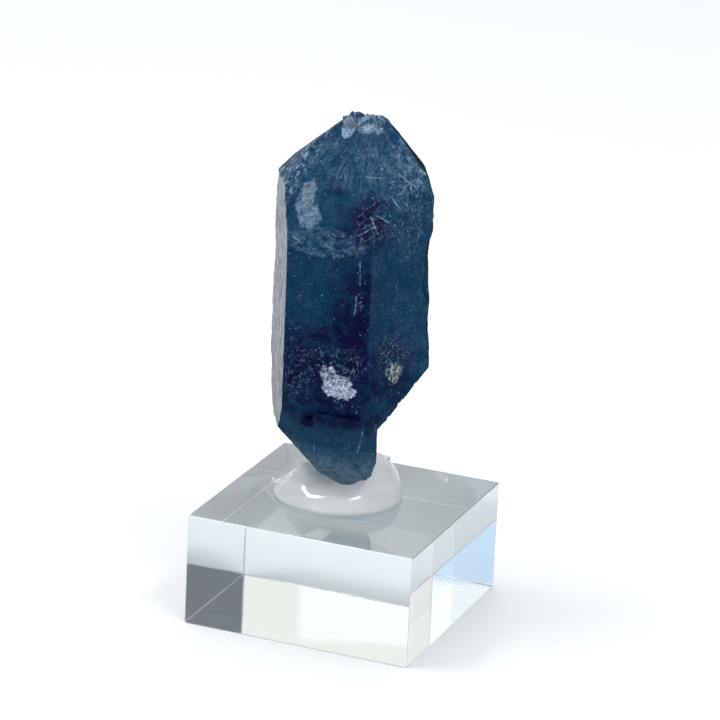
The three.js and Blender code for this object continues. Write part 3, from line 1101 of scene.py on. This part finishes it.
@dataclass
class GlueDab:
    """The dab of glue round the crystal's foot."""

    centre: Place = (-1.4, 1.3, 14.41)
    radius: float = 8.1
    turns: int = 144
    rise: float = 5.0
    left_rise: float = 0.7
    left_slope: float = 0.6
    slump_way: float = math.radians(-120)
    peak: Place = (-4.8, -2.6, 2.2)
    peak_width: float = 1.2
    oval: float = 0.03
    lobed: float = 0.012
    swell: float = 0.35
    slumped: Profile = (
        (1.0, 0.0),
        (1.015, 0.03),
        (1.02, 0.09),
        (1.0, 0.17),
        (0.975, 0.26),
        (0.935, 0.36),
        (0.88, 0.455),
        (0.81, 0.54),
        (0.73, 0.615),
        (0.64, 0.685),
        (0.54, 0.75),
        (0.42, 0.82),
        (0.3, 0.88),
        (0.15, 0.93),
    )
    domed: Profile = (
        (1.0, 0.0),
        (1.012, 0.02),
        (1.012, 0.1),
        (1.0, 0.22),
        (0.985, 0.36),
        (0.96, 0.5),
        (0.92, 0.63),
        (0.865, 0.76),
        (0.79, 0.86),
        (0.69, 0.93),
        (0.58, 0.975),
        (0.45, 1.0),
        (0.3, 0.99),
        (0.15, 0.985),
    )

    def build(self) -> bpy.types.Object:
        """Makes the glue.

        Returns:
            The piece.
        """
        turns = self.turns
        points: list[Place] = []
        rows = list(zip(self._rows(self.domed), self._rows(self.slumped)))
        for high, low in rows:
            for turn in range(turns):
                angle = 2 * math.pi * turn / turns
                share = (0.5 + 0.5 * math.cos(angle - self.slump_way)) ** 0.7
                radius, height = high * (1 - share) + low * share
                points.append(self._lay(radius, height, angle))
        faces: list[tuple[int, ...]] = []
        for row in range(len(rows) - 1):
            for turn in range(turns):
                a, b = row * turns + turn, row * turns + (turn + 1) % turns
                faces.append((a, b, b + turns, a + turns))
        faces.append(tuple(range(turns))[::-1])
        top = len(points)
        last = (len(rows) - 1) * turns
        points.append(self._lay(0.0, self.rise * 0.98, 0.0))
        faces += [(last + turn, last + (turn + 1) % turns, top) for turn in range(turns)]
        mesh = bpy.data.meshes.new("glue_drop")
        mesh.from_pydata([tuple(value * MM for value in point) for point in points], [], faces)
        mesh.polygons.foreach_set("use_smooth", [True] * len(mesh.polygons))
        mesh.materials.append(GlueFinish().material())
        piece = placed(mesh)
        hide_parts("glue_dab")
        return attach(piece, "root")

    def _rows(self, profile: Profile) -> Array:
        """The profile at closer steps.

        Args:
            profile: Its corners, as parts of the dab's radius and height.

        Returns:
            Rows of radius and height in millimetres.
        """
        knots = np.array(profile)
        length = np.concatenate([[0], np.cumsum(np.linalg.norm(np.diff(knots, axis=0), axis=1))])
        steps = np.linspace(0, length[-1], 60)
        radii = np.interp(steps, length, knots[:, 0]) * self.radius
        heights = np.interp(steps, length, knots[:, 1]) * self.rise
        for _ in range(3):
            radii[1:-1] = (radii[:-2] + 2 * radii[1:-1] + radii[2:]) / 4
            heights[1:-1] = (heights[:-2] + 2 * heights[1:-1] + heights[2:]) / 4
        return np.stack([radii, heights], 1)

    def _lay(self, radius: float, height: float, angle: float) -> Place:
        """Puts one point of the profile in its place.

        Args:
            radius: Its distance from the dab's middle, before it is drawn in.
            height: Its height above the block.
            angle: Its turn round the dab, in radians.

        Returns:
            The place in millimetres.
        """
        left = ((1 - math.cos(angle)) / 2) ** 2
        drawn = self.left_slope * left * min(1.0, height / 1.4) * min(1.0, radius / 4)
        spread = 1 - self.oval * math.cos(angle) + self.lobed * math.cos(3 * angle + 0.7)
        reach = max(radius * spread - drawn, 0.0)
        x, y = math.cos(angle) * reach, math.sin(angle) * reach
        wave = noise.noise(Vector((x, y, height)) * 0.22) * self.swell
        lift = height * (1 - (1 - self.left_rise) * left)
        away = math.hypot(self.centre[0] + x - self.peak[0], self.centre[1] + y - self.peak[1])
        lift += self.peak[2] * math.exp(-0.5 * (away / self.peak_width) ** 2) * min(1.0, height / 1.6)
        hold = min(1.0, height / 0.8)
        scale = 1 + wave * hold * 0.35 / max(reach, 2.0)
        lift += wave * hold * 0.3
        return (self.centre[0] + x * scale, self.centre[1] + y * scale, self.centre[2] + lift)


@dataclass(frozen=True)
class FrothFinish:
    """White glue, full of air."""

    thick: Colour = (0.97, 0.98, 0.99)
    thin: Colour = (0.84, 0.87, 0.90)

    def material(self) -> bpy.types.Material:
        """Builds the froth's material.

        Returns:
            The material.
        """
        kit = Recipe(bpy.data.materials.new("glue_froth"))
        at = kit.place()
        bubbles = kit.cells(at, 3.2).step(0.15, 0.5)
        tone = kit.blend(kit.mottle(at, 2.0, 3.0).step(0.4, 0.6) * bubbles, self.thick, self.thin)
        surface = kit.gloss(
            {"Base Color": tone, "Roughness": 0.25, "IOR": 1.48, "Normal": kit.bump(bubbles, 0.05, 0.6)}
        )
        return kit.finish(surface)


@dataclass
class GlueFroth:
    """Small tufts of foamed glue at the dab's edge."""

    tufts: tuple[tuple[Place, Place, int], ...] = (
        ((-9.15, -0.2, 15.0), (0.75, 0.9, 0.30), 26),
        ((-8.0, -0.4, 15.7), (0.5, 0.6, 0.35), 9),
        ((2.9, 5.6, 18.4), (0.55, 0.5, 0.22), 12),
    )

    def build(self) -> bpy.types.Object:
        """Makes the tufts.

        Returns:
            The piece.
        """
        rng = random.Random(SEED + 3)
        work = bmesh.new()
        for centre, spread, count in self.tufts:
            for _ in range(count):
                self._bubble(work, rng, centre, spread)
        mesh = bpy.data.meshes.new("glue_froth")
        work.to_mesh(mesh)
        work.free()
        mesh.polygons.foreach_set("use_smooth", [True] * len(mesh.polygons))
        mesh.materials.append(FrothFinish().material())
        piece = placed(mesh)
        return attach(piece, "root")

    @staticmethod
    def _bubble(work: bmesh.types.BMesh, rng: random.Random, centre: Place, spread: Place) -> None:
        """Adds one lump to the froth.

        Args:
            work: The mesh that it goes into.
            rng: The source of chance.
            centre: The middle of its tuft, in millimetres.
            spread: How far the tuft reaches.
        """
        radius = rng.uniform(0.10, 0.30)
        middle = [c + max(-1.0, min(1.0, rng.gauss(0, 0.5))) * s for c, s in zip(centre, spread)]
        made = bmesh.ops.create_icosphere(work, subdivisions=3, radius=radius)
        for vert in made["verts"]:
            swell = 1 + 0.35 * noise.noise(vert.co * 5 + Vector(middle))
            vert.co = (vert.co * swell + Vector(middle)) * MM


@dataclass
class DisplayBlock:
    """The acrylic block, whose edges are narrow chamfers with nicks in them."""

    side: float = 30.0
    height: float = 14.4
    chamfer: float = 0.11
    steps: int = 120
    points: list[Array] = field(default_factory=list)
    faces: list[list[int]] = field(default_factory=list)
    corners: dict[tuple[tuple[int, ...], int], int] = field(default_factory=dict)
    sides: dict[tuple[int, int], list[list[int]]] = field(default_factory=dict)

    def build(self) -> bpy.types.Object:
        """Makes the block.

        Returns:
            The piece.
        """
        self._outline()
        middle = np.array([0.0, 0.0, self.height / 2])
        mesh = bpy.data.meshes.new("display_block")
        mesh.from_pydata([tuple((point + middle) * MM) for point in self.points], [], self.faces)
        work = bmesh.new()
        work.from_mesh(mesh)
        bmesh.ops.recalc_face_normals(work, faces=work.faces)
        work.to_mesh(mesh)
        work.free()
        bevels = [1.0 - max(abs(value) for value in polygon.normal) > 0.05 for polygon in mesh.polygons]
        mesh.attributes.new("bevel", "FLOAT", "FACE").data.foreach_set("value", np.array(bevels, float))
        mesh.materials.append(AcrylicFinish().material())
        piece = placed(mesh)
        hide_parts("acrylic_block")
        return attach(piece, "root")

    def _outline(self) -> None:
        """Lays all points and faces, round the block's own middle."""
        rng = random.Random(SEED)
        half = np.array([self.side, self.side, self.height]) / 2
        signs = list(product((-1, 1), repeat=3))
        for sign in signs:
            chip = self.chamfer * (2.6 if rng.random() < 0.3 else 1.2)
            for axis in range(3):
                inset = np.full(3, chip)
                inset[axis] = 0.0
                self.corners[sign, axis] = len(self.points)
                self.points.append(np.array(sign) * (half - inset))
        for along in range(3):
            for pair in product((-1, 1), repeat=2):
                self._edge(along, pair, half)
        self.faces += [self._ring(lines) for lines in self.sides.values()]
        self.faces += [[self.corners[sign, axis] for axis in range(3)] for sign in signs]

    def _width(self, place: Array, seed: float) -> float:
        """How wide the chamfer is at a place, in millimetres.

        Args:
            place: The place on the edge.
            seed: Which noise.

        Returns:
            The width.
        """
        soft = noise.noise(Vector(place * 0.5) + Vector((seed, 0, 0)))
        nick = max(0.0, noise.noise(Vector(place * 1.7) + Vector((0, seed, 5))) - 0.36)
        return self.chamfer * (1 + 0.3 * soft) + nick * 0.1

    def _edge(self, along: int, pair: tuple[int, int], half: Array) -> None:
        """Lays one edge's chamfer as two lines of points with faces between them.

        Args:
            along: The axis that the edge runs along.
            pair: Its sides of the block, on the two other axes.
            half: Half the block's size.
        """
        across = [axis for axis in range(3) if axis != along]
        sign_on = dict(zip(across, pair))
        ends = [tuple(sign_on.get(axis, end) for axis in range(3)) for end in (-1, 1)]
        span = half[along] - self.chamfer * 3.2
        lines: list[list[int]] = []
        for which, (face_axis, other) in enumerate((across, across[::-1])):
            line = [self.corners[ends[0], face_axis]]
            for step in range(self.steps + 1):
                place = np.array(ends[1]) * half
                place[along] = -span + 2 * span * step / self.steps
                place[other] -= math.copysign(self._width(place, 3.1 * which + 7.7 * along), place[other])
                line.append(len(self.points))
                self.points.append(place)
            line.append(self.corners[ends[1], face_axis])
            lines.append(line)
            self.sides.setdefault((face_axis, sign_on[face_axis]), []).append(line)
        for index in range(len(lines[0]) - 1):
            self.faces.append([lines[0][index], lines[0][index + 1], lines[1][index + 1], lines[1][index]])

    @staticmethod
    def _ring(lines: list[list[int]]) -> list[int]:
        """Joins four lines that share their ends into one outline.

        Args:
            lines: The lines, in any order and direction.

        Returns:
            The points round the outline.
        """
        rest = [list(line) for line in lines]
        ring = rest.pop(0)
        while rest:
            for line in rest:
                if ring[-1] in (line[0], line[-1]):
                    ring += (line if line[0] == ring[-1] else line[::-1])[1:]
                    rest.remove(line)
                    break
        return ring[:-1]


@dataclass(frozen=True)
class Lamp:
    """A soft four-sided lamp."""

    name: str
    place: Place
    power: float
    aim: Place = (0.0, 0.0, 30.0)
    size: tuple[float, float] = (200.0, 85.0)

    def build(self) -> None:
        """Hangs the lamp."""
        light = bpy.data.lights.new(self.name, "AREA")
        light.shape = "RECTANGLE"
        light.size, light.size_y = (length * MM for length in self.size)
        light.energy = self.power
        lamp = bpy.data.objects.new(self.name, light)
        bpy.context.scene.collection.objects.link(lamp)
        lamp.location = Vector(self.place) * MM
        way = (Vector(self.aim) - Vector(self.place)).normalized()
        lamp.rotation_euler = way.to_track_quat("-Z", "Y").to_euler()


@dataclass(frozen=True)
class Lobe:
    """A round soft patch of the surroundings, with its angles in degrees."""

    azimuth: float
    tilt: float
    inner: float
    outer: float
    colour: Colour

    def share(self, kit: Recipe, way: Channel) -> Channel:
        """How much of the patch is seen.

        Args:
            kit: The recipe of the surroundings.
            way: The direction that is looked at.

        Returns:
            1 in its middle and 0 beside it.
        """
        near = kit.dot(way, tuple(facing(self.azimuth, self.tilt)))
        return near.step(math.cos(math.radians(self.outer)), math.cos(math.radians(self.inner)))


@dataclass(frozen=True)
class Panel:
    """A four-sided patch of the surroundings, with its angles in degrees."""

    azimuth: float
    tilt: float
    half_width: float
    half_height: float
    soft: float
    colour: Colour

    def share(self, kit: Recipe, way: Channel) -> Channel:
        """How much of the patch is seen.

        Args:
            kit: The recipe of the surroundings.
            way: The direction that is looked at.

        Returns:
            1 on the patch and 0 beside it.
        """
        out, across = facing(self.azimuth, self.tilt), facing(self.azimuth + 90, 0)
        seen = kit.dot(way, tuple(out)).step(0.5, 0.6)
        for line, reach in ((across, self.half_width), (np.cross(out, across), self.half_height)):
            off = kit.apart(kit.dot(way - tuple(out), tuple(line)))
            seen = seen * off.step(math.radians(reach + self.soft / 2), math.radians(reach - self.soft / 2))
        return seen


@dataclass
class Studio:
    """The pale floor, the soft light and the camera."""

    azimuth: float = 21.568
    elevation: float = 18.998
    roll: float = 2.747
    distance: float = 500.0
    target: Place = (0.984, 0.0, 33.019)
    lens: float = 201.15
    floor_reach: float = 3.0
    floor_level: float = -0.00003
    patches: tuple[Lobe | Panel, ...] = (
        Lobe(-158.0, 22.0, 10.0, 30.0, (1.06, 1.02, 0.93)),
        Lobe(-20.0, 22.0, 7.0, 16.0, (1.38, 1.40, 1.43)),
        Lobe(156.0, 22.0, 14.0, 20.0, (0.155, 0.168, 0.186)),
        Panel(-19.8, 17.0, 5.0, 5.08, 0.12, (0.74, 0.98, 1.25)),
        Panel(-158.55, 22.62, 0.80, 0.40, 0.14, (1.20, 1.17, 1.12)),
    )
    lamps: tuple[Lamp, ...] = (
        Lamp("left_light", (-225.0, -105.0, 448.0), 0.58),
        Lamp("right_light", (235.0, -140.0, 425.0), 0.54),
    )

    def build(self) -> None:
        """Makes all of it."""
        self._floor()
        self._world()
        for lamp in self.lamps:
            lamp.build()
        self._camera()

    def _floor(self) -> None:
        """Makes the floor."""
        mesh = bpy.data.meshes.new("floor")
        corners = [(-1, -1), (1, -1), (1, 1), (-1, 1)]
        points = [(x * self.floor_reach, y * self.floor_reach, self.floor_level) for x, y in corners]
        mesh.from_pydata(points, [], [(0, 1, 2, 3)])
        kit = Recipe(bpy.data.materials.new("pale_floor"))
        tone = kit.blend(kit.mottle(kit.place(), 0.01, 2.0), (0.86, 0.865, 0.87), (0.89, 0.895, 0.90))
        mesh.materials.append(kit.finish(kit.gloss({"Base Color": tone, "Roughness": 0.6})))
        floor = placed(mesh)

    def _world(self) -> None:
        """Makes the soft light all round, with the patches that the block looks at."""
        kit = Recipe(bpy.data.worlds.new("studio"))
        way = kit.node("ShaderNodeTexCoord", output="Generated")
        up = kit.parts(way)[2].most(0.0)
        tone = kit.blend(up * up, (0.56, 0.59, 0.62), (1.28, 1.32, 1.35))
        for patch in self.patches:
            tone = kit.blend(patch.share(kit, way), tone, patch.colour)
        sky = kit.node("ShaderNodeBackground", {}, {"Color": tone, "Strength": 1.0})
        bpy.context.scene.world = kit.finish(sky)
        bpy.context.scene.view_settings.view_transform = "Standard"

    def _camera(self) -> None:
        """Makes the camera at the photograph's angle."""
        data = bpy.data.cameras.new("camera")
        data.lens = self.lens
        data.sensor_width = 36.0
        data.clip_start = 0.01
        data.clip_end = 20.0
        camera = bpy.data.objects.new("camera", data)
        bpy.context.scene.collection.objects.link(camera)
        back = Vector(facing(self.azimuth, self.elevation))
        right = (-back).cross(Vector((0, 0, 1))).normalized()
        up = right.cross(-back)
        lean = math.radians(self.roll)
        right, up = right * math.cos(lean) + up * math.sin(lean), up * math.cos(lean) - right * math.sin(lean)
        place = (Vector(self.target) + back * self.distance) * MM
        turn = Matrix((right, up, back)).transposed().to_4x4()
        camera.matrix_world = Matrix.Translation(place) @ turn
        bpy.context.scene.camera = camera


def main() -> None:
    """Builds the specimen and the studio."""
    logging.basicConfig(level=logging.INFO, format="%(name)s: %(message)s", stream=sys.stdout)
    Studio().build()
    for part in (DisplayBlock(), GlueDab(), GlueFroth(), Crystal()):
        piece = part.build()
        log.info("%s: %d faces", piece.name, len(piece.data.polygons))


if __name__ == "__main__":
    main()
